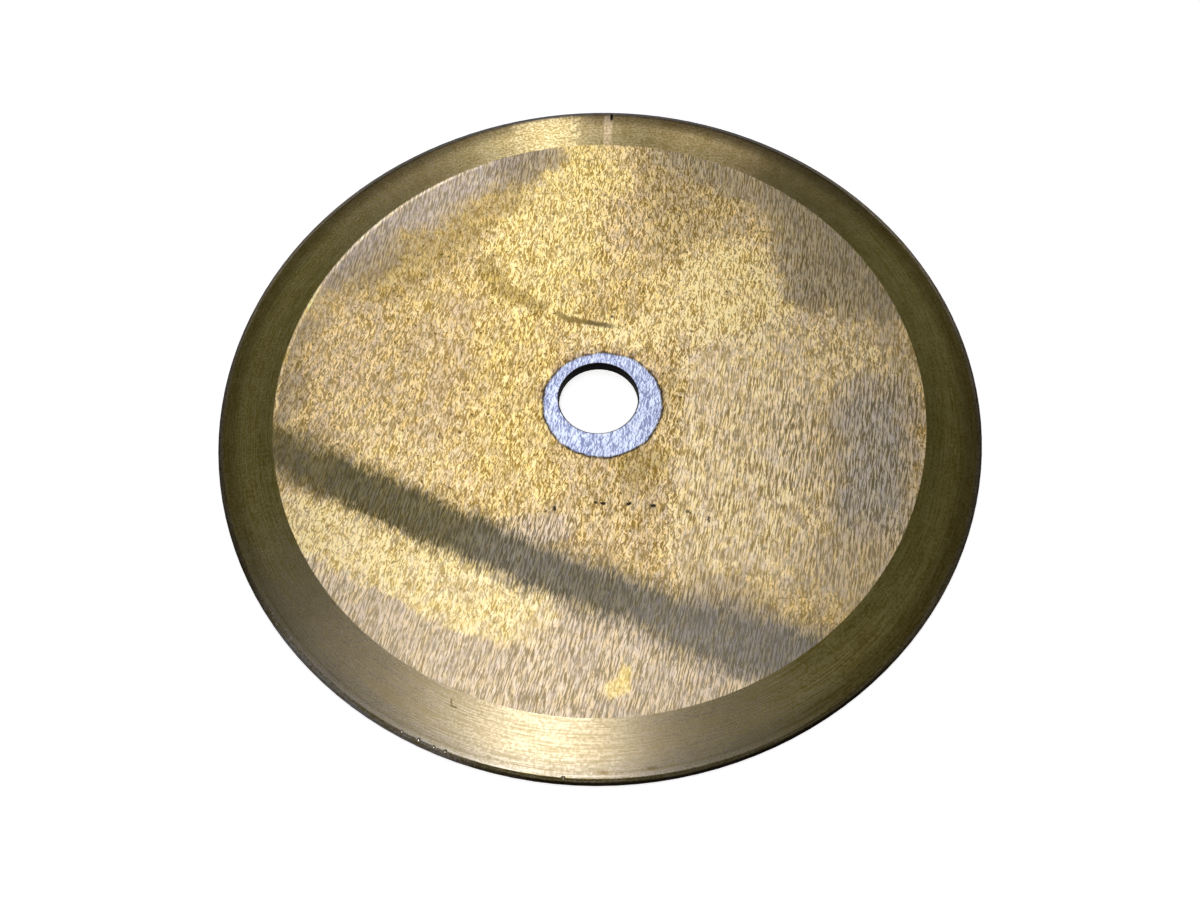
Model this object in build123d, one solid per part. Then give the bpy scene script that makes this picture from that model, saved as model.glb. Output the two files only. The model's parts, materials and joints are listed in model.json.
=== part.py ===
from build123d import *
import math
import os

# Round knife for a core cutter: one disc of hardened tool steel, bevelled on one side only.
# Millimetres. The origin is the centre of the bore on the flat back, and +Z leaves the bevelled face.

# The disc
outer_diameter = 152.4
bore_diameter = 15.875
thickness = 2.54
bore_break = 0.2  # edge break at both mouths of the bore

# The cutting edge, from the rim inwards. Angles are measured from the plane of the back.
edge_land = 0.38  # height of the worn rim between the back and the honed bevel
hone_width = 1.05  # radial width of the honed bevel
hone_angle = 25.0
bevel_angle = 9.25

# Wear. Azimuths are measured from +X towards +Y.
nick_azimuth = 86.0
nick_length = 3.0  # from the rim towards the bore, where it runs out on the main bevel
nick_depth = 0.2  # below the corner of the rim
nick_angle = 50.0  # between the two sides of the vee
chip_azimuths = (240.7, 243.3, 245.6, 247.3, 263.6)
chip_balls = (0.5, 0.7, 0.45, 0.6, 0.8)  # radius of the round that each chip follows
chip_depth = 0.12  # below the corner between the two bevels

outer_radius = outer_diameter / 2
bore_radius = bore_diameter / 2
hone_radius = outer_radius - hone_width
hone_height = edge_land + hone_width * math.tan(math.radians(hone_angle))
bevel_slope = math.tan(math.radians(bevel_angle))
face_radius = hone_radius - (thickness - hone_height) / bevel_slope


def make_disc():
    """The blade's half section in the XZ plane, turned once round the bore's axis."""
    with BuildPart() as disc:
        with BuildSketch(Plane.XZ):
            with BuildLine():
                Polyline(
                    (bore_radius + bore_break, 0),
                    (outer_radius, 0),
                    (outer_radius, edge_land),
                    (hone_radius, hone_height),
                    (face_radius, thickness),
                    (bore_radius + bore_break, thickness),
                    (bore_radius, thickness - bore_break),
                    (bore_radius, bore_break),
                    close=True,
                )
            make_face()
        revolve(axis=Axis.Z)
    return disc.part


def make_nick():
    """A vee whose floor starts on the main bevel and leaves through the rim, ready to be cut away."""
    start_radius = outer_radius - nick_length
    start = Vector(start_radius, 0, hone_height + (hone_radius - start_radius) * bevel_slope)
    rim_floor = Vector(outer_radius, 0, edge_land - nick_depth)
    floor = rim_floor - start
    side_height = thickness  # taller than any surface above the floor
    side_width = side_height * math.tan(math.radians(nick_angle / 2))
    with BuildPart() as vee:
        with BuildSketch(Plane(origin=start, x_dir=(0, 1, 0), z_dir=floor)):
            with BuildLine():
                Polyline((0, 0), (side_width, side_height), (-side_width, side_height), close=True)
            make_face()
        extrude(amount=floor.length * 2)
    return vee.part.rotate(Axis.Z, nick_azimuth)


def make_chip(azimuth, ball_radius):
    """A ball sunk into the corner between the main bevel and the honed bevel."""
    lean = math.radians((bevel_angle + hone_angle) / 2)
    lift = ball_radius - chip_depth
    centre_radius = hone_radius + lift * math.sin(lean)
    centre_height = hone_height + lift * math.cos(lean)
    ball = Pos(centre_radius, 0, centre_height) * Sphere(ball_radius)
    return ball.rotate(Axis.Z, azimuth)


blade = make_disc() - make_nick()
for chip_azimuth, chip_ball in zip(chip_azimuths, chip_balls):
    blade -= make_chip(chip_azimuth, chip_ball)
blade.label = "blade"

os.makedirs("parts", exist_ok=True)
export_step(blade, "parts/blade.step")
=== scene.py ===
import json
import math
from collections import namedtuple

import bpy
from mathutils import Matrix, Vector


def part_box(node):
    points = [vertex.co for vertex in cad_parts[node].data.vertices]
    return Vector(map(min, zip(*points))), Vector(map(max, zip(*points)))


# Round knife of ground tool steel, lying on its flat back. The scene is in metres.
# The patterns of the steel are written in millimetres: x and y from the bore's axis, z up from the back.
# Azimuths and directions are degrees from +X towards +Y.

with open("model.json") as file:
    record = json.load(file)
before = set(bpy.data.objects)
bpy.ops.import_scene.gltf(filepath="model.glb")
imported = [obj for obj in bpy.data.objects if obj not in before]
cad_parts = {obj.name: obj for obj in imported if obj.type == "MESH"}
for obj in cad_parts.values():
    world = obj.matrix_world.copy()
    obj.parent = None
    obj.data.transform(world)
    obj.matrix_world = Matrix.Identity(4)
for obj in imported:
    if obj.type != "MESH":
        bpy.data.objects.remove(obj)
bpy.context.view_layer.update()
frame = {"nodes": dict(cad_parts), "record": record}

MM = 0.001

# Sizes of the knife, in millimetres
blade = frame["nodes"]["blade"]
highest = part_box("blade")[1]
face_corners = [vertex.co for vertex in blade.data.vertices if vertex.co.z > highest.z - 0.01 * MM]
outer_radius = highest.x / MM
bore_radius = next(m["dims"]["r_mm"] for m in frame["record"]["mounts"] if m["name"] == "bore")
face_radius = max(math.hypot(corner.x, corner.y) for corner in face_corners) / MM
hone_width = 1.05
hone_radius = outer_radius - hone_width

# The photograph's view, fitted in a frame of 1200 x 900 pixels
frame_width = 1200.0
frame_height = 900.0
focal_pixels = 1258.24
face_centre_pixel = (598.35, 397.73)
camera_distance = 0.2517  # from the lens to the middle of the bevelled side
camera_elevation = 62.82
camera_roll = 1.965
sensor_width = 36.0
near_clip = 0.01

# Light. Each lamp is a rectangle in a plane above the knife, which leans from the vertical towards -X.
# Its edges are angles from the foot of that plane, seen from the knife: across, then from -Y to +Y.
lamp_height = 0.8
lamps = (
    # name, lean, half width, nearest edge, farthest edge, radiance
    ("strip_lamp", 6.9, 6.5, -26.0, 70.0, 3.1),
    ("fill_lamp", -12.0, 9.0, 5.0, 45.0, 0.75),
)
world_grey = 0.09
floor_grey = 0.8
floor_glow = 0.75
floor_roughness = 0.9

# The face was ground in long arcs: their direction at the bore, and their radius
grain_direction = 77.0
grain_radius = 980.0

# Gloss: how rough each surface is where its marks are middling, and how far the marks stretch a highlight
face_roughness = 0.37
bevel_roughness = 0.285
hone_roughness = 0.26
back_roughness = 0.38
wall_roughness = 0.9  # of the bore's wall and the worn rim
dullness = 0.13  # added in the dull patch of the bevel
stretch = 0.45
grinding_depth = 0.003
corner_blur = 0.05  # half the width over which one surface's finish gives way to the next


def srgb(red, green, blue):
    """A colour written as it looks on a screen, from 0 to 1, as the linear colour that a socket takes."""
    channels = (c / 12.92 if c <= 0.04045 else ((c + 0.055) / 1.055) ** 2.4 for c in (red, green, blue))
    return (*channels, 1.0)


# Colours of the face under its thin films of oil and rust
straw = srgb(0.825, 0.71, 0.50)
gold = srgb(0.865, 0.742, 0.475)
yellow_gold = srgb(0.93, 0.81, 0.525)
pale_straw = srgb(0.87, 0.752, 0.55)
pale_gold = srgb(0.98, 0.855, 0.60)
bright_gold = srgb(0.99, 0.87, 0.63)
lemon = srgb(0.95, 0.84, 0.60)
sun = srgb(1.0, 0.88, 0.585)
peach = srgb(0.87, 0.77, 0.585)
amber = srgb(0.70, 0.59, 0.34)
fawn = srgb(0.72, 0.62, 0.42)
ochre = srgb(0.74, 0.63, 0.40)
dove = srgb(0.70, 0.64, 0.565)
dark_dove = srgb(0.58, 0.52, 0.43)
stone = srgb(0.67, 0.625, 0.545)
moss = srgb(0.62, 0.56, 0.44)
cream = srgb(0.80, 0.718, 0.592)
bark = srgb(0.52, 0.43, 0.24)
# The next four colours are painted shadow, for the dark band across the face from its left end to its right
dark_olive = srgb(0.405, 0.37, 0.265)
shadowed_olive = srgb(0.47, 0.425, 0.30)
umber = srgb(0.44, 0.41, 0.348)
slate = srgb(0.535, 0.50, 0.44)
soot = srgb(0.20, 0.17, 0.15)
ring_steel = srgb(0.75, 0.78, 0.92)

# Colours of the rest
# The next three are the bevel's colour at its sides, near side and far side: lit and shaded copies of one
# finish, painted light and shade
bevel_olive = srgb(0.74, 0.68, 0.40)
bevel_cream = srgb(0.77, 0.70, 0.56)
bevel_gold = srgb(0.78, 0.70, 0.50)
# The four hone colours are painted light and shade round the rim: a painted highlight at the lower left, near
# and side copies, and painted shade at the far side
painted_hone_highlight = srgb(0.96, 0.90, 0.77)
near_hone = srgb(0.66, 0.60, 0.43)
side_hone = srgb(0.57, 0.52, 0.40)
painted_far_hone_shade = srgb(0.20, 0.18, 0.15)
back_steel = srgb(0.72, 0.68, 0.60)
# Near black, painted as the shade in the bore's wall, on the upright rim and in the floor of the nick
painted_shade_black = srgb(0.04, 0.03, 0.04)

# What a pattern multiplies a colour by, where the pattern is 0 and where it is 1
Tint = namedtuple("Tint", "low high")
grey_tint = Tint((0.35, 0.33, 0.265, 1.0), (1.64, 1.66, 1.86, 1.0))
golden_tint = Tint((0.38, 0.315, 0.13, 1.0), (1.52, 1.62, 2.04, 1.0))
patch_tint = Tint((0.91, 0.92, 1.01, 1.0), (1.07, 1.06, 0.97, 1.0))
film_tint = Tint((1.02, 1.0, 0.82, 1.0), (0.96, 1.01, 1.17, 1.0))
ring_tint = Tint((0.42, 0.45, 0.55, 1.0), (1.50, 1.48, 1.30, 1.0))
bevel_tint = Tint((0.62, 0.58, 0.34, 1.0), (1.42, 1.46, 1.80, 1.0))
cloud_tint = Tint((0.84, 0.80, 0.68, 1.0), (1.14, 1.17, 1.30, 1.0))
inner_tint = Tint((0.86, 0.87, 0.86, 1.0), (1.0, 1.0, 1.0, 1.0))
# Painted reflection, which lightens the bevel's inner part round azimuth 67
painted_reflection_tint = Tint((1.45, 1.40, 1.43, 1.0), (1.0, 0.98, 1.0, 1.0))
# Painted shadow, which darkens the hone's outer rim, to black at the near side
painted_rim_shadow = Tint((0.75, 0.73, 0.90, 1.0), (0.12, 0.10, 0.12, 1.0))

# The brightest that a fleck gets, where the face is grey and where it is golden
grey_limit = (1.0, 0.86, 0.58, 1.0)
golden_limit = (1.0, 0.83, 0.42, 1.0)

# What small features multiply the colour under them by. The light lines at the face's corner and at the
# bevel's outer edge are painted highlights.
painted_corner_highlight = (1.8, 1.8, 1.7, 1.0)
pit_shade = (0.36, 0.34, 0.30, 1.0)
smudge_shade = (0.50, 0.46, 0.56, 1.0)
side_wear = (0.60, 0.57, 0.54, 1.0)
near_wear = (0.86, 0.89, 0.98, 1.0)
far_wear = (0.50, 0.48, 0.46, 1.0)
groove_shade = (0.72, 0.70, 0.66, 1.0)
painted_edge_highlight = (1.10, 1.13, 1.25, 1.0)
far_edge_shade = (0.38, 0.38, 0.45, 1.0)
streak_gleam = (1.65, 1.68, 2.3, 1.0)

Finish = namedtuple("Finish", "colour roughness")

# A stain is a rounded patch, whose length lies along its direction. Its strength is how much of its colour
# it has, and its softness is how soft its edge is, as a share of its half width.
Stain = namedtuple("Stain", "colour strength centre half_length half_width direction softness")

# The face's film and stains, each laid over the ones before it
face_stains = (
    Stain(gold, 0.9, (-16.0, 3.0), 25.0, 8.5, 88.0, 0.35),
    Stain(yellow_gold, 0.9, (-10.0, 43.0), 21.0, 11.0, 84.0, 0.3),
    Stain(yellow_gold, 0.8, (0.0, 58.0), 8.0, 8.0, 0.0, 0.3),
    Stain(fawn, 0.75, (20.0, 50.0), 15.0, 9.5, 92.0, 0.35),
    Stain(gold, 0.6, (5.0, 26.5), 11.0, 7.0, 20.0, 0.5),
    Stain(pale_gold, 0.95, (27.0, 24.0), 12.0, 10.5, 60.0, 0.35),
    Stain(pale_gold, 0.85, (18.0, 17.0), 18.0, 4.0, 6.0, 0.6),
    Stain(pale_straw, 0.8, (-51.0, 10.0), 15.0, 6.0, 80.0, 0.5),
    Stain(gold, 0.6, (-32.0, 28.0), 9.0, 5.0, 35.0, 0.5),
    Stain(ochre, 0.9, (-31.0, 42.0), 20.5, 5.5, 42.0, 0.4),
    Stain(dove, 0.95, (-72.0, 95.0), 90.0, 62.5, 37.0, 0.05),
    Stain(dark_dove, 0.8, (-13.5, 60.5), 7.0, 4.5, 20.0, 0.5),
    Stain(dark_dove, 0.5, (-48.0, 34.0), 8.0, 3.5, 40.0, 0.5),
    Stain(peach, 0.9, (28.0, -14.0), 27.0, 13.5, 84.0, 0.35),
    Stain(peach, 0.6, (46.0, 8.0), 12.0, 9.0, 0.0, 0.4),
    Stain(moss, 0.95, (57.5, 39.5), 18.5, 19.0, 90.0, 0.32),
    Stain(moss, 0.8, (33.0, 61.0), 20.0, 10.0, -38.0, 0.4),
    Stain(moss, 0.75, (51.0, 21.0), 13.0, 4.0, -15.0, 0.4),
    Stain(dark_dove, 0.5, (-65.0, 12.0), 11.0, 5.0, 90.0, 0.4),
    Stain(stone, 0.9, (53.0, -14.0), 14.0, 7.0, 80.0, 0.5),
    Stain(stone, 0.4, (50.0, -34.0), 13.0, 9.0, 60.0, 0.4),
    Stain(stone, 0.3, (39.0, -11.0), 9.0, 5.0, 84.0, 0.6),
    Stain(stone, 0.25, (62.0, 8.0), 9.0, 3.5, 84.0, 0.5),
    Stain(pale_gold, 0.4, (-38.0, -11.0), 12.0, 5.0, -25.0, 0.5),
    Stain(amber, 0.75, (8.0, -15.0), 5.0, 4.0, 0.0, 0.5),
    Stain(fawn, 0.35, (3.0, -22.0), 7.0, 5.0, 0.0, 0.4),
    Stain(amber, 0.45, (15.0, 0.0), 8.0, 2.5, 90.0, 0.5),
    Stain(dove, 0.6, (-12.5, -28.0), 5.0, 3.0, 20.0, 0.5),
    Stain(amber, 0.9, (-20.0, 29.0), 5.5, 2.6, -55.0, 0.6),
    Stain(amber, 0.9, (-15.5, 24.5), 4.5, 2.2, -38.0, 0.6),
    Stain(amber, 0.4, (2.5, 20.5), 5.5, 3.0, -5.0, 0.6),
    Stain(dark_dove, 0.45, (22.5, -43.3), 6.5, 4.0, -25.0, 0.5),
    Stain(cream, 1.0, (-30.0, -66.0), 90.0, 31.5, -25.0, 0.04),
    Stain(lemon, 0.9, (-30.0, -38.0), 20.5, 6.5, -25.0, 0.2),
    Stain(bright_gold, 0.95, (-51.0, -26.0), 12.0, 5.5, -25.0, 0.3),
)

# A small golden spot near the front, which lies under the flecks, and its glow over them
golden_spots = (
    Stain(sun, 0.8, (1.6, -59.5), 1.9, 1.2, 20.0, 0.6),
    Stain(sun, 0.7, (2.9, -57.2), 1.5, 0.8, 70.0, 0.7),
)
golden_glow = [spot._replace(strength=0.43 * spot.strength) for spot in golden_spots]

# Small marks with clear edges: the scratch over the ring, specks of dirt, and the glow
face_marks = (
    Stain(bark, 0.7, (-6.9, 19.7), 1.5, 0.5, -45.0, 0.7),
    Stain(bark, 0.6, (-5.0, 18.9), 2.0, 0.45, -20.0, 0.8),
    Stain(bark, 0.85, (-1.3, 17.9), 3.8, 0.5, -13.0, 0.8),
    Stain(soot, 0.5, (0.8, 17.4), 2.2, 0.35, -13.0, 0.8),
    Stain(soot, 1.0, (-9.0, -23.9), 0.25, 0.45, 0.0, 0.4),
    Stain(soot, 0.9, (-1.2, -23.1), 0.35, 0.25, 0.0, 0.4),
    Stain(soot, 1.0, (0.2, -23.2), 0.45, 0.25, 0.0, 0.4),
    Stain(soot, 1.0, (5.2, -23.5), 0.45, 0.3, 20.0, 0.4),
    Stain(soot, 1.0, (9.8, -24.1), 0.45, 0.3, -10.0, 0.4),
    Stain(soot, 0.8, (16.4, -25.6), 0.6, 0.25, -30.0, 0.4),
    Stain(soot, 0.8, (20.2, -27.3), 0.25, 0.6, 0.0, 0.4),
    Stain(soot, 0.6, (-3.5, -25.4), 0.25, 0.25, 0.0, 0.4),
    Stain(soot, 0.9, (3.4, 19.2), 0.3, 0.25, 0.0, 0.4),
    *golden_glow,
)

# The streak beside the nick that is brighter than the dull patch it crosses
bright_streak = Stain(None, 1.0, (4.3, 70.0), 6.0, 0.95, 86.6, 0.3)

# Marks on the bevel: the floor of the nick, painted black as its shade, a small bent scratch and two pits
bevel_marks = (
    Stain(painted_shade_black, 1.0, (5.25, 74.5), 1.4, 0.3, 86.0, 0.3),
    Stain(bark, 0.8, (-28.0, -61.0), 0.7, 0.15, 90.0, 0.5),
    Stain(bark, 0.8, (-27.5, -61.8), 0.55, 0.15, -25.0, 0.5),
    Stain(bark, 0.6, (-1.5, -74.1), 0.9, 0.25, 0.0, 0.5),
    Stain(bark, 0.6, (7.2, -73.6), 0.8, 0.3, 5.0, 0.5),
)

# Areas of the face where the flecks have less contrast: the direction that each lies in from the bore's axis,
# how far out it begins and is full, and how much of the contrast it leaves
Calm = namedtuple("Calm", "direction begins full leaves")

calm_areas = (
    Calm((0.0, -1.0, 0.0), 26.0, 46.0, 0.72),
    Calm((-0.6, 0.8, 0.0), 44.0, 54.0, 0.72),
    Calm((1.0, 0.0, 0.0), 34.0, 46.0, 0.9),
    Calm((0.8, 0.6, 0.0), 50.0, 58.0, 0.78),
    Calm((-1.0, 0.0, 0.0), 12.0, 32.0, 0.85),
)

# Stretches of the bevel round the rim where light and shade are painted, the one at 233 lighter and the rest
# darker: the azimuth of each one's middle, the cosines of the angles from there at which it begins and is
# full, and what it multiplies the colour by
Sector = namedtuple("Sector", "azimuth edge core factor")

painted_bevel_light = (
    Sector(233.0, 0.955, 0.995, (1.20, 1.20, 1.22, 1.0)),
    Sector(332.0, 0.78, 0.95, (0.78, 0.77, 0.72, 1.0)),
    Sector(82.0, 0.984, 0.997, (0.86, 0.85, 0.82, 1.0)),
    Sector(113.0, 0.97, 0.99, (0.92, 0.92, 0.90, 1.0)),
    Sector(55.0, 0.85, 0.97, (0.80, 0.80, 0.74, 1.0)),
)

# A Mix node's sockets for each kind of value: the one under, the one over, and the result
number_sockets = (2, 3, 0)
vector_sockets = (4, 5, 1)
colour_sockets = (6, 7, 2)


class Pattern:
    """A new material, and short calls that add nodes to it. Each takes sockets or plain values."""

    def __init__(self, name):
        self.material = bpy.data.materials.new(name)
        self.material.use_nodes = True
        self.tree = self.material.node_tree
        self.shader = self.tree.nodes["Principled BSDF"]

    def feed(self, node, inputs):
        """Links or sets a node's sockets."""
        for key, value in inputs.items():
            if isinstance(value, bpy.types.NodeSocket):
                self.tree.links.new(value, node.inputs[key])
            else:
                node.inputs[key].default_value = value

    def node(self, kind, inputs, output=0, **settings):
        """Adds a node, and gives its output."""
        node = self.tree.nodes.new(kind)
        for name, value in settings.items():
            setattr(node, name, value)
        self.feed(node, inputs)
        return node.outputs[output]

    def calculate(self, operation, first, second=0.0):
        return self.node("ShaderNodeMath", {0: first, 1: second}, operation=operation)

    def product(self, first, *others):
        for other in others:
            first = self.calculate("MULTIPLY", first, other)
        return first

    def off(self, value, middle):
        """How far a value is from the middle one, either way."""
        return self.calculate("ABSOLUTE", self.calculate("SUBTRACT", value, middle))

    def vector(self, operation, first, second=(0, 0, 0), output=0):
        return self.node("ShaderNodeVectorMath", {0: first, 1: second}, output, operation=operation)

    def times(self, vector, factor):
        return self.node("ShaderNodeVectorMath", {0: vector, "Scale": factor}, operation="SCALE")

    def dot(self, vector, direction):
        return self.vector("DOT_PRODUCT", vector, direction, "Value")

    def length(self, vector):
        return self.vector("LENGTH", vector, output="Value")

    def part(self, vector, axis):
        return self.node("ShaderNodeSeparateXYZ", {0: vector}, axis)

    def compose(self, x, y, z):
        return self.node("ShaderNodeCombineXYZ", {0: x, 1: y, 2: z})

    def ramp(self, value, start, end, low=0.0, high=1.0):
        """Goes smoothly from low at start to high at end, and stays there."""
        inputs = {"Value": value, "From Min": start, "From Max": end, "To Min": low, "To Max": high}
        return self.node("ShaderNodeMapRange", inputs, interpolation_type="SMOOTHSTEP")

    def scaled(self, vector, centre, direction, along, across):
        """The vector from centre, turned so that x runs along direction, in units of along and across."""
        inputs = {
            "Vector": vector,
            "Location": (*centre, 0.0),
            "Rotation": (0.0, 0.0, math.radians(direction)),
            "Scale": (along, across, 1.0),
        }
        return self.node("ShaderNodeMapping", inputs, vector_type="TEXTURE")

    def noise(self, vector, size=1.0, detail=2.0, roughness=0.5, output="Fac"):
        """Noise from 0 to 1 whose lumps are about as wide as size."""
        inputs = {"Vector": vector, "Scale": 1.0 / size, "Detail": detail, "Roughness": roughness}
        return self.node("ShaderNodeTexNoise", inputs, output)

    def jitter(self, vector, size, amount):
        """Noise about 0, which mostly stays within half of amount."""
        return self.product(self.calculate("SUBTRACT", self.noise(vector, size, detail=3.0), 0.5), amount)

    def streaks(self, vector, length, breadth, detail=2.0, swirl=0.0):
        """Noise whose lumps are drawn out along the vector's x, with edges that swirl frays."""
        stretched = self.vector("MULTIPLY", vector, (1.0 / length, 1.0 / breadth, 1.0))
        streaks = self.noise(stretched, detail=detail, roughness=0.6)
        streaks.node.inputs["Distortion"].default_value = swirl
        return streaks

    def blend(self, sockets, share, under, over, **settings):
        first, second, result = sockets
        return self.node("ShaderNodeMix", {0: share, first: under, second: over}, result, **settings)

    def mix(self, share, under, over):
        """The colour under where share is 0, and the colour over where it is 1."""
        return self.blend(colour_sockets, share, under, over, data_type="RGBA")

    def mix_number(self, share, under, over):
        return self.blend(number_sockets, share, under, over)

    def mix_vector(self, share, under, over):
        return self.blend(vector_sockets, share, under, over, data_type="VECTOR")

    def multiply(self, colour, factor, share=1.0):
        """The colour times the factor, but no channel over 1."""
        settings = {"data_type": "RGBA", "blend_type": "MULTIPLY", "clamp_result": True}
        return self.blend(colour_sockets, share, colour, factor, **settings)

    def darker(self, first, second):
        """The darker of two colours, channel by channel."""
        return self.blend(colour_sockets, 1.0, first, second, data_type="RGBA", blend_type="DARKEN")

    def tinted(self, colour, pattern, tint, share=1.0):
        """The colour times what the tint says for the pattern, which goes from 0 to 1."""
        return self.multiply(colour, self.mix(pattern, tint.low, tint.high), share)

    def cover(self, share, under, over):
        """One finish over another, where share is 1."""
        return Finish(
            self.mix(share, under.colour, over.colour),
            self.mix_number(share, under.roughness, over.roughness),
        )


class Place:
    """Where a point of the knife is, in millimetres, as the patterns ask for it."""

    def __init__(self, p):
        coordinates = p.tree.nodes.new("ShaderNodeTexCoord")
        point = p.times(coordinates.outputs["Object"], 1.0 / MM)
        self.flat = p.vector("MULTIPLY", point, (1.0, 1.0, 0.0))
        self.radius = p.length(self.flat)
        self.outward = p.vector("NORMALIZE", self.flat)
        self.up = p.part(coordinates.outputs["Normal"], "Z")
        self.azimuth = p.calculate("ARCTAN2", p.part(self.flat, "Y"), p.part(self.flat, "X"))
        toward_centre = math.radians(grain_direction + 90.0)
        grain_centre = (grain_radius * math.cos(toward_centre), grain_radius * math.sin(toward_centre), 0.0)
        arm = p.vector("SUBTRACT", self.flat, grain_centre)
        self.across_grain = p.vector("NORMALIZE", arm)
        swing = p.calculate("ARCTAN2", p.part(arm, "Y"), p.part(arm, "X"))
        along = p.product(swing, grain_radius)
        self.grain = p.compose(along, p.calculate("SUBTRACT", p.length(arm), grain_radius), 0.0)


def share_of(p, ground, stain):
    """Share, from 0 to 1, that a stain has of a place on the ground."""
    reach = p.scaled(ground, stain.centre, stain.direction, stain.half_length, stain.half_width)
    squared_reach = p.length(p.vector("MULTIPLY", reach, reach))
    outer_edge = (1.0 + stain.softness) ** 2
    inner_edge = (1.0 - stain.softness) ** 2
    return p.ramp(squared_reach, outer_edge, inner_edge, 0.0, stain.strength)


def stained(p, ground, colour, stains):
    """The colour with stains over it."""
    for stain in stains:
        colour = p.mix(share_of(p, ground, stain), colour, stain.colour)
    return colour


def wander(p, vector, size, amount):
    """A vector that noise with lumps of this size moves by up to this amount each way."""
    offset = p.vector("SUBTRACT", p.noise(vector, size=size, output="Color"), (0.5, 0.5, 0.5))
    return p.vector("ADD", vector, p.vector("MULTIPLY", offset, (2.0 * amount, 2.0 * amount, 0.0)))


def toward(p, place, azimuth, edge, core):
    """Share of a stretch of the rim. It begins and is full at these cosines of the angle from its middle."""
    middle = (math.cos(math.radians(azimuth)), math.sin(math.radians(azimuth)), 0.0)
    return p.ramp(p.dot(place.outward, middle), edge, core)


def gloss(p, pattern, roughness, spread):
    """Roughness that falls as the pattern goes from 0 to 1, by the spread each way."""
    return p.ramp(pattern, 0.0, 1.0, roughness + spread, roughness - spread)


def painted_shadow_band(p, place, strokes):
    """Share and colour of a painted shadow: the slightly bent dark band across the face, which is wider at its
    right.
    """
    middle = (-8.5, -37.5)
    direction = -24.8
    bend = 0.0008
    fraying = 1.5  # how far the strokes move its edges
    band = p.scaled(wander(p, place.flat, size=5.0, amount=1.5), middle, direction, 1.0, 1.0)
    along = p.part(band, "X")
    sag = p.product(along, along, bend)
    distance = p.off(p.part(band, "Y"), sag)
    half_width = p.ramp(along, 20.0, 32.0, 5.1, 6.7)
    beyond = p.calculate("SUBTRACT", distance, half_width)
    beyond = p.calculate("ADD", beyond, p.product(p.calculate("SUBTRACT", strokes, 0.5), fraying))
    softness = p.calculate("ADD", p.ramp(along, -38.0, 32.0, 2.0, 3.0), p.ramp(along, -48.0, -60.0, 0.0, 1.2))
    share = p.ramp(p.calculate("DIVIDE", beyond, softness), 1.0, -1.0)
    colour = p.mix(p.ramp(along, -62.0, -42.0), shadowed_olive, dark_olive)
    colour = p.mix(p.ramp(along, -26.0, -8.0), colour, umber)
    return share, p.mix(p.ramp(along, 6.0, 30.0), colour, slate)


def washer_print(p, place):
    """Shares of what a washer left: a clean bright ring, a thin dark line round it, and a smudge outside."""
    centre = (0.76, -1.46, 0.0)
    ring_radius = 11.85
    ring_blur = 0.15
    line_radius = ring_radius + 0.1
    line_half_width = 0.5
    ground = wander(p, wander(p, place.flat, size=6.0, amount=0.7), size=0.8, amount=0.25)
    reach = p.length(p.vector("SUBTRACT", ground, centre))
    patchy = p.noise(place.flat, size=1.8, detail=3.0)
    y = p.part(place.flat, "Y")
    inside = p.ramp(reach, ring_radius + ring_blur, ring_radius - ring_blur)
    line = p.ramp(p.off(reach, line_radius), line_half_width, 0.0)
    outline = p.product(line, p.ramp(patchy, 0.4, 0.5, 0.7, 1.0), p.ramp(y, 4.0, 9.0, 1.0, 0.6))
    halo = p.ramp(reach, ring_radius + 2.0, ring_radius + 0.4)
    smudge = p.product(halo, p.ramp(y, -8.0, 6.0), p.ramp(patchy, 0.38, 0.58))
    return inside, outline, smudge


def golden(p, colour):
    """How golden a colour is: 0 for the greys and 1 for the deepest gold."""
    blue_of_grey = 0.50  # blue as a share of red
    blue_of_gold = 0.28
    channels = p.tree.nodes.new("ShaderNodeSeparateColor")
    p.feed(channels, {0: colour})
    return p.ramp(p.calculate("DIVIDE", channels.outputs[2], channels.outputs[0]), blue_of_grey, blue_of_gold)


def relief(p, place, length, breadth, flank, steepness, swirl):
    """Streaks along the grain as raking light shows them: their height, and more where they slope one way."""
    shifted = p.vector("ADD", place.grain, (0.1, flank, 0.0))
    height = p.streaks(place.grain, length, breadth, detail=3.0, swirl=swirl)
    beside = p.streaks(shifted, length, breadth, detail=3.0, swirl=swirl)
    return p.calculate("ADD", height, p.product(p.calculate("SUBTRACT", height, beside), steepness))


def grinding(p, place):
    """What grinding left, from 0, dark, to 1, bright: long fine strokes, and shorter and rounder flecks."""
    blotches = p.streaks(place.grain, length=2.4, breadth=1.5, detail=3.0, swirl=1.0)
    strokes = relief(p, place, length=2.7, breadth=0.46, flank=0.18, steepness=0.9, swirl=0.4)
    strokes = p.mix_number(0.42, strokes, blotches)
    flecks = relief(p, place, length=1.4, breadth=0.54, flank=0.25, steepness=0.7, swirl=1.0)
    flecks = p.mix_number(0.48, flecks, blotches)
    return p.ramp(strokes, 0.395, 0.605), p.ramp(flecks, 0.395, 0.605)


def film(p, place):
    """How the film on the steel varies in hue from fleck to fleck, from 0 to 1."""
    elsewhere = p.vector("ADD", place.grain, (40.0, 70.0, 9.0))  # so that it doesn't follow the flecks
    return p.ramp(p.streaks(elsewhere, length=2.4, breadth=1.0, detail=3.0, swirl=0.5), 0.35, 0.65)


def patches(p, place):
    """Small ragged patches, from 0, where the steel is nearly bare, to 1, where the film is whole."""
    elsewhere = p.vector("ADD", place.grain, (20.0, 90.0, 4.0))
    return p.ramp(p.streaks(elsewhere, length=6.5, breadth=4.5, detail=5.0, swirl=1.0), 0.46, 0.54)


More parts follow.
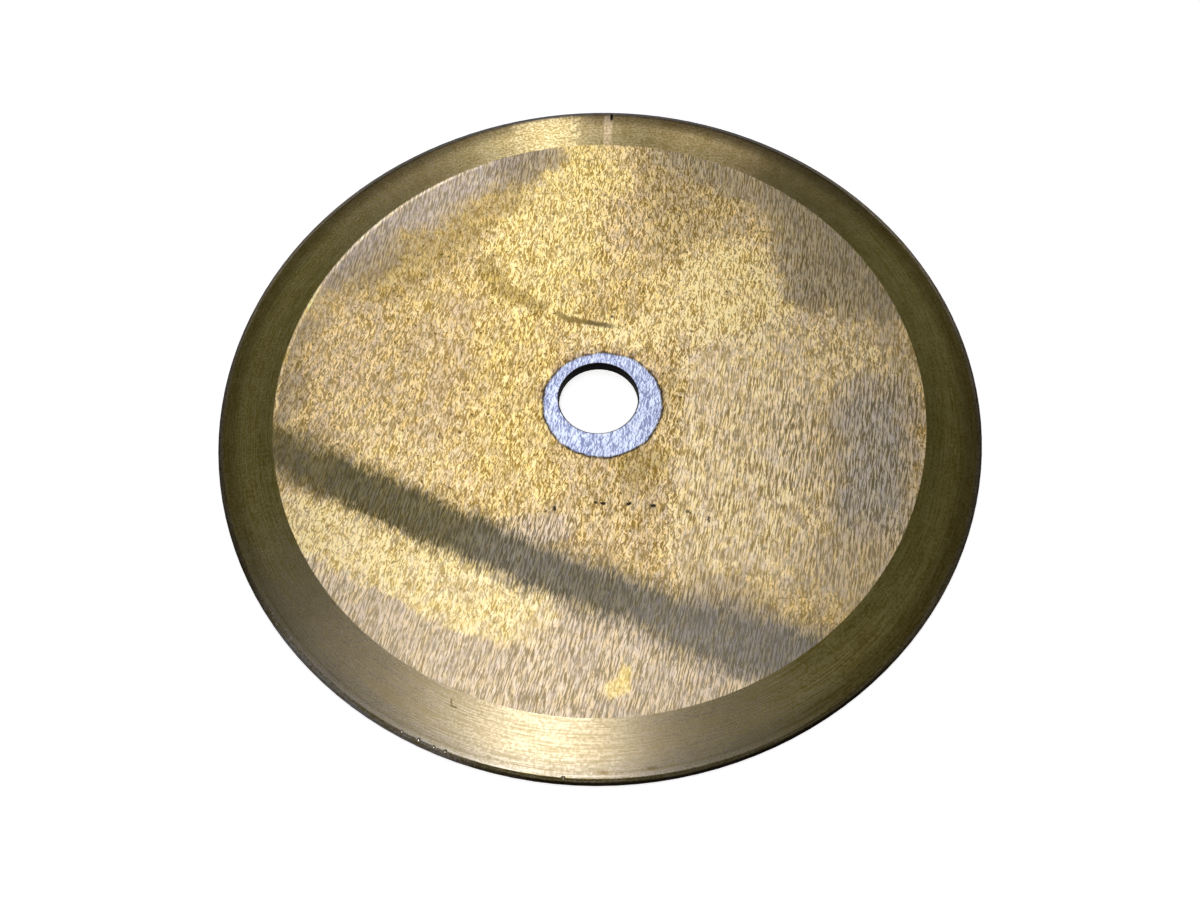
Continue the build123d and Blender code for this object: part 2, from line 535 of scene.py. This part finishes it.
def flecked(p, place, colour, flecks, filmed, gilding, shadow_band_share):
    """The face's colour with its flecks, which have less contrast in the calm areas, the painted shadow band
    and the gold.
    """
    contrast = p.product(p.ramp(shadow_band_share, 0.0, 1.0, 1.0, 0.72), p.ramp(gilding, 0.3, 0.9, 1.0, 0.93))
    for area in calm_areas:
        beyond = p.dot(place.flat, area.direction)
        contrast = p.product(contrast, p.ramp(beyond, area.begins, area.full, 1.0, area.leaves))
    contrast = p.product(contrast, p.ramp(filmed, 0.0, 1.0, 0.8, 1.0))
    dark = p.mix(gilding, grey_tint.low, golden_tint.low)
    bright = p.mix(gilding, grey_tint.high, golden_tint.high)
    colour = p.tinted(colour, flecks, Tint(dark, bright), contrast)
    return p.darker(colour, p.mix(gilding, grey_limit, golden_limit))


def face(p, place, strokes, flecks):
    """The ground and stained face, with a painted highlight: a light line just inside its corner at the upper
    left.
    """
    corner_line_radius = face_radius - 0.35
    filmed = patches(p, place)
    ground = wander(p, wander(p, place.flat, size=14.0, amount=5.0), size=3.0, amount=3.0)
    frayed = wander(p, place.flat, size=0.9, amount=0.35)
    colour = stained(p, ground, straw, face_stains)
    colour = stained(p, frayed, colour, golden_spots)
    shadow_band_share, shadow_band_colour = painted_shadow_band(p, place, strokes)
    # Painted shadow: the dark band across the face
    colour = p.mix(shadow_band_share, colour, shadow_band_colour)
    gilding = golden(p, colour)
    flecks = p.mix_number(p.ramp(gilding, 0.3, 0.6), strokes, flecks)
    colour = p.tinted(colour, filmed, patch_tint, p.ramp(gilding, 0.0, 0.7, 0.4, 0.8))
    hues = film(p, place)
    colour = p.tinted(colour, hues, film_tint, p.ramp(gilding, 0.0, 0.5, 0.6, 0.9))
    colour = flecked(p, place, colour, flecks, filmed, gilding, shadow_band_share)
    # Painted highlight: a light line along the face's corner at the upper left
    corner = p.ramp(p.off(place.radius, corner_line_radius), 0.55, 0.1)
    upper_left = toward(p, place, 148.0, 0.75, 0.93)
    colour = p.multiply(colour, painted_corner_highlight, p.product(corner, upper_left))
    spots = p.ramp(p.noise(place.flat, size=0.9), 0.60, 0.67)
    colour = p.mix(p.product(spots, p.ramp(gilding, 0.3, 1.0, 0.3, 0.7)), colour, bark)
    pits = p.ramp(p.noise(place.flat, size=0.8, detail=0.0), 0.72, 0.79)
    colour = p.multiply(colour, pit_shade, p.product(pits, p.ramp(gilding, 0.3, 0.9)))
    colour = stained(p, frayed, colour, face_marks)
    inside, outline, smudge = washer_print(p, place)
    colour = p.multiply(colour, smudge_shade, smudge)
    colour = p.mix(inside, colour, p.tinted(ring_steel, flecks, ring_tint))
    colour = p.mix(outline, colour, soot)
    colour = p.mix(p.ramp(place.radius, bore_radius + 0.3, bore_radius + 0.2), colour, soot)
    return Finish(colour, gloss(p, hues, face_roughness, 0.02))


def around(p, place, length, breadth):
    """Noise in lumps that are drawn out round the bore's axis."""
    across = p.compose(0.0, 0.0, p.calculate("DIVIDE", place.radius, breadth))
    return p.noise(p.vector("ADD", p.times(place.outward, outer_radius / length), across))


def turning(p, place):
    """The fine lines that grinding left round the bevel, from 0 to 1: alone, and then with a fine grain."""
    grain = p.noise(place.flat, size=0.6, detail=3.0, roughness=0.7)
    fine_lines = around(p, place, length=12.0, breadth=0.22)
    lines = p.mix_number(0.45, fine_lines, around(p, place, length=4.5, breadth=0.33))
    grained = p.mix_number(p.ramp(p.part(place.flat, "Y"), 30.0, 60.0, 0.45, 0.75), lines, grain)
    return p.ramp(lines, 0.4, 0.6), p.ramp(grained, 0.41, 0.59)


def clouding(p, place, far):
    """Soft blotches of stain on the bevel, from 0 to 1, which partly run across it at the far side."""
    blotches = p.ramp(p.noise(place.flat, size=3.2, detail=4.0), 0.36, 0.64)
    crossing = p.ramp(around(p, place, length=2.6, breadth=9.0), 0.38, 0.62)
    return p.mix_number(p.product(far, 0.6), blotches, crossing)


def dull_patch(p, place, streak):
    """Share of the dull patch on the far bevel, which ends beside the nick and lets the streak through."""
    begins = 58.0  # azimuths
    ends = 92.4
    degrees = p.product(place.azimuth, 180.0 / math.pi)
    ragged = p.calculate("ADD", degrees, p.jitter(place.flat, size=1.6, amount=8.0))
    begun = p.ramp(ragged, begins - 10.0, begins + 12.0)
    dull = p.product(begun, p.ramp(ragged, ends + 0.3, ends - 0.3))
    return p.calculate("SUBTRACT", dull, p.product(streak, 0.8))


def bevel(p, place, lines):
    """The wide bevel, whose colour round the rim is painted light and shade: olive at the sides, golden at the
    far side, paler near by, with lighter and darker stretches; it is also worn towards the edge.
    """
    groove_radius = 74.05
    highlight_radius = 74.8
    near = toward(p, place, 252.0, 0.52, 0.92)
    far = toward(p, place, 90.0, 0.42, 0.90)
    colour = p.mix(far, p.mix(near, bevel_olive, bevel_cream), bevel_gold)
    wear = p.mix(far, p.mix(near, side_wear, near_wear), far_wear)
    worn = p.ramp(toward(p, place, 97.0, 0.990, 0.998), 0.0, 1.0, 1.0, 0.3)
    outer_zone = p.ramp(place.radius, 70.5, 74.0)
    colour = p.multiply(colour, wear, p.product(outer_zone, worn))
    inner_zone = p.ramp(place.radius, 69.5, 66.5)
    colour = p.tinted(colour, near, inner_tint, p.product(inner_zone, worn))
    # Painted light and shade: stretches of the bevel made lighter or darker
    for sector in painted_bevel_light:
        colour = p.multiply(colour, sector.factor, toward(p, place, sector.azimuth, sector.edge, sector.core))
    # Painted reflection: the bevel lighter round azimuth 67, most on its inner part
    reflection_share = toward(p, place, 67.0, 0.972, 0.998)
    colour = p.tinted(colour, p.ramp(place.radius, 71.0, 74.0), painted_reflection_tint, reflection_share)
    cloudiness = p.mix_number(far, p.ramp(near, 0.0, 1.0, 0.38, 0.15), 0.7)
    colour = p.tinted(colour, clouding(p, place, far), cloud_tint, cloudiness)
    contrast = p.mix_number(far, p.ramp(near, 0.0, 1.0, 0.95, 0.36), 0.65)
    colour = p.tinted(colour, lines, bevel_tint, contrast)
    groove = p.ramp(p.off(place.radius, groove_radius), 0.3, 0.0, 0.0, 0.7)
    colour = p.multiply(colour, groove_shade, p.product(groove, near))
    # Painted highlight: a light line along the bevel's outer edge at the near side
    edge_highlight = p.ramp(p.off(place.radius, highlight_radius), 0.4, 0.15)
    colour = p.multiply(colour, painted_edge_highlight, p.product(edge_highlight, near))
    edge_zone = p.ramp(place.radius, 74.1, 75.1)
    colour = p.multiply(colour, far_edge_shade, p.product(edge_zone, far))
    streak = share_of(p, place.flat, bright_streak)
    colour = p.multiply(colour, streak_gleam, streak)
    colour = stained(p, place.flat, colour, bevel_marks)
    dull = p.product(dull_patch(p, place, streak), dullness)
    return Finish(colour, p.calculate("ADD", gloss(p, lines, bevel_roughness, 0.03), dull))


def honed(p, place, lines):
    """The narrow honed bevel, whose colour round the rim is painted light and shade: lightest at the lower
    left, darkest at the far side, black at the near rim.
    """
    y = p.part(place.flat, "Y")
    # Painted highlight on the hone at the lower left, and painted shadow, black, at the near rim
    light = toward(p, place, 231.0, 0.93, 0.985)
    black = toward(p, place, 283.0, 0.80, 0.94)
    colour = p.mix(p.ramp(y, -20.0, -60.0), side_hone, near_hone)
    colour = p.mix(p.ramp(y, 30.0, 72.0), colour, painted_far_hone_shade)
    colour = p.mix(light, colour, painted_hone_highlight)
    colour = p.tinted(colour, lines, bevel_tint)
    # Painted shadow: the hone's outer rim darkened, black at the near side
    rim = p.ramp(place.radius, outer_radius - 0.6, outer_radius - 0.35)
    return Finish(p.tinted(colour, black, painted_rim_shadow, rim), hone_roughness)


def back(p, place, strokes):
    """The flat back, ground like the face and only lightly stained."""
    clouds = p.ramp(p.noise(place.flat, size=22.0, detail=3.0), 0.35, 0.7, 0.0, 0.7)
    colour = p.tinted(p.mix(clouds, back_steel, fawn), strokes, grey_tint, 0.7)
    return Finish(colour, gloss(p, strokes, back_roughness, 0.04))


def ground_steel():
    """The knife's one material: each surface has its finish, by its radius and the way it faces."""
    p = Pattern("ground_steel")
    place = Place(p)
    strokes, flecks = grinding(p, place)
    lines, grained = turning(p, place)
    turned = p.ramp(place.radius, face_radius - corner_blur, face_radius + corner_blur)
    finish = p.cover(turned, face(p, place, strokes, flecks), bevel(p, place, grained))
    ragged = p.calculate("ADD", place.radius, p.jitter(place.flat, size=1.2, amount=1.2))
    honing = p.ramp(ragged, hone_radius - corner_blur, hone_radius + corner_blur)
    finish = p.cover(honing, finish, honed(p, place, grained))
    upright = p.ramp(p.calculate("ABSOLUTE", place.up), 0.6, 0.4)
    # The bore's wall and the upright rim are painted black as their shade
    finish = p.cover(upright, finish, Finish(painted_shade_black, wall_roughness))
    finish = p.cover(p.ramp(place.up, -0.4, -0.6), finish, back(p, place, strokes))
    height = p.mix_number(turned, strokes, lines)
    p.feed(p.shader, {
        "Metallic": 1.0,
        "Anisotropic": stretch,
        "Base Color": finish.colour,
        "Roughness": finish.roughness,
        "Normal": p.node("ShaderNodeBump", {"Distance": grinding_depth * MM, "Height": height}),
        "Tangent": p.mix_vector(turned, place.across_grain, place.outward),
    })
    return p.material


def pale_floor():
    """A matt floor that shows near white to the camera and in the metal, and keeps the knife's shadow."""
    p = Pattern("pale_floor")
    path = p.tree.nodes.new("ShaderNodeLightPath")
    seen = p.calculate("MAXIMUM", path.outputs["Is Camera Ray"], path.outputs["Is Glossy Ray"])
    seen = p.calculate("MAXIMUM", seen, path.outputs["Is Transmission Ray"])
    p.feed(p.shader, {
        "Base Color": (floor_grey, floor_grey, floor_grey, 1.0),
        "Roughness": floor_roughness,
        "Specular IOR Level": 0.0,
        "Emission Color": (1.0, 1.0, 1.0, 1.0),
        "Emission Strength": p.product(seen, floor_glow),
    })
    return p.material


def add_floor():
    """A wide round floor just under the knife, with a low wall at its rim that hides the grey world."""
    sides = 64
    floor_radius = 6.0
    wall_height = 0.66
    drop = 0.02 * MM  # between the knife's back and the floor
    turns = [2.0 * math.pi * i / sides for i in range(sides)]
    points = [
        (floor_radius * math.cos(turn), floor_radius * math.sin(turn), z)
        for z in (-drop, wall_height)
        for turn in turns
    ]
    walls = [(i, i + sides, (i + 1) % sides + sides, (i + 1) % sides) for i in range(sides)]
    mesh = bpy.data.meshes.new("floor")
    mesh.from_pydata(points, [], [tuple(range(sides))] + walls)
    mesh.materials.append(pale_floor())
    floor = bpy.data.objects.new("floor", mesh)
    bpy.context.scene.collection.objects.link(floor)


def add_lamp(name, lean, half_width, nearest, farthest, radiance):
    """A soft rectangular lamp overhead, which sends the same radiance whatever its size."""
    near = lamp_height * math.tan(math.radians(nearest))
    far = lamp_height * math.tan(math.radians(farthest))
    lamp = bpy.data.lights.new(name, "AREA")
    lamp.shape = "RECTANGLE"
    lamp.size = 2.0 * lamp_height * math.tan(math.radians(half_width))
    lamp.size_y = far - near
    lamp.energy = radiance * math.pi * lamp.size * lamp.size_y
    lamp_object = bpy.data.objects.new(name, lamp)
    turn = Matrix.Rotation(math.radians(-lean), 4, "Y")
    lamp_object.matrix_world = turn @ Matrix.Translation((0.0, (near + far) / 2.0, lamp_height))
    bpy.context.scene.collection.objects.link(lamp_object)


def set_world():
    """An even dim grey all round."""
    world = bpy.data.worlds.new("studio")
    world.use_nodes = True
    background = world.node_tree.nodes["Background"]
    background.inputs["Color"].default_value = (world_grey, world_grey, world_grey, 1.0)
    bpy.context.scene.world = world


def add_camera():
    """The camera of the fitted view, which looks at the middle of the bevelled side."""
    camera = bpy.data.cameras.new("camera")
    camera.sensor_width = sensor_width
    camera.lens = sensor_width * focal_pixels / frame_width
    camera.clip_start = near_clip
    turn = Matrix.Rotation(math.radians(90.0 - camera_elevation), 3, "X")
    turn = turn @ Matrix.Rotation(math.radians(-camera_roll), 3, "Z")
    right = (face_centre_pixel[0] - frame_width / 2.0) / focal_pixels
    down = (face_centre_pixel[1] - frame_height / 2.0) / focal_pixels
    sight = Vector((right, -down, -1.0)).normalized() * camera_distance
    location = Vector((0.0, 0.0, highest.z)) - turn @ sight
    camera_object = bpy.data.objects.new("camera", camera)
    camera_object.matrix_world = Matrix.LocRotScale(location, turn, None)
    bpy.context.scene.collection.objects.link(camera_object)
    bpy.context.scene.camera = camera_object


blade.material_slots[0].material = ground_steel()
add_floor()
for lamp_values in lamps:
    add_lamp(*lamp_values)
set_world()
add_camera()
bpy.context.scene.view_settings.view_transform = "Standard"
